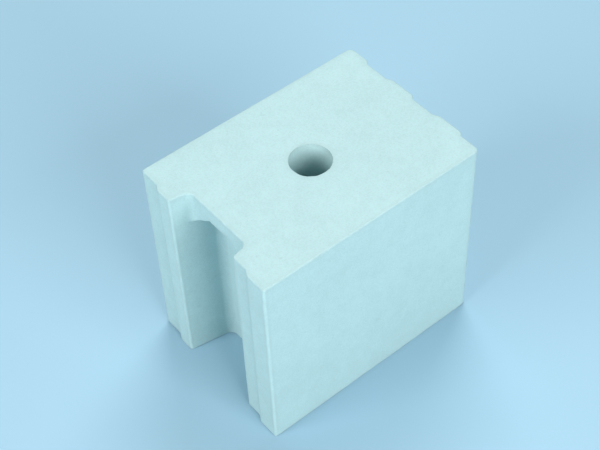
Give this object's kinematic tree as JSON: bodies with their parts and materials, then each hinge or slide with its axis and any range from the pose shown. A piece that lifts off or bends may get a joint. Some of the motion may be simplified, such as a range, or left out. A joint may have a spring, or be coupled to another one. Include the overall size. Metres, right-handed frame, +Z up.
{
  "type": "calcium silicate block",
  "caption": "Pressed pale wall block with tongue-and-groove ends, a stepped hand-grip slot in an end face and a central vertical through hole.",
  "frame": {"origin": "middle of the bottom bed face", "axes": "+X along the length, away from the end with the hand grip; +Y across the width; +Z up, out of the top bed face"},
  "size_m": [0.25, 0.18, 0.22],
  "materials": {
    "calcium_silicate": "matt, fine sandy grain"
  },
  "bodies": {
    "root": {"block": "calcium_silicate"}
  },
  "joints": []
}
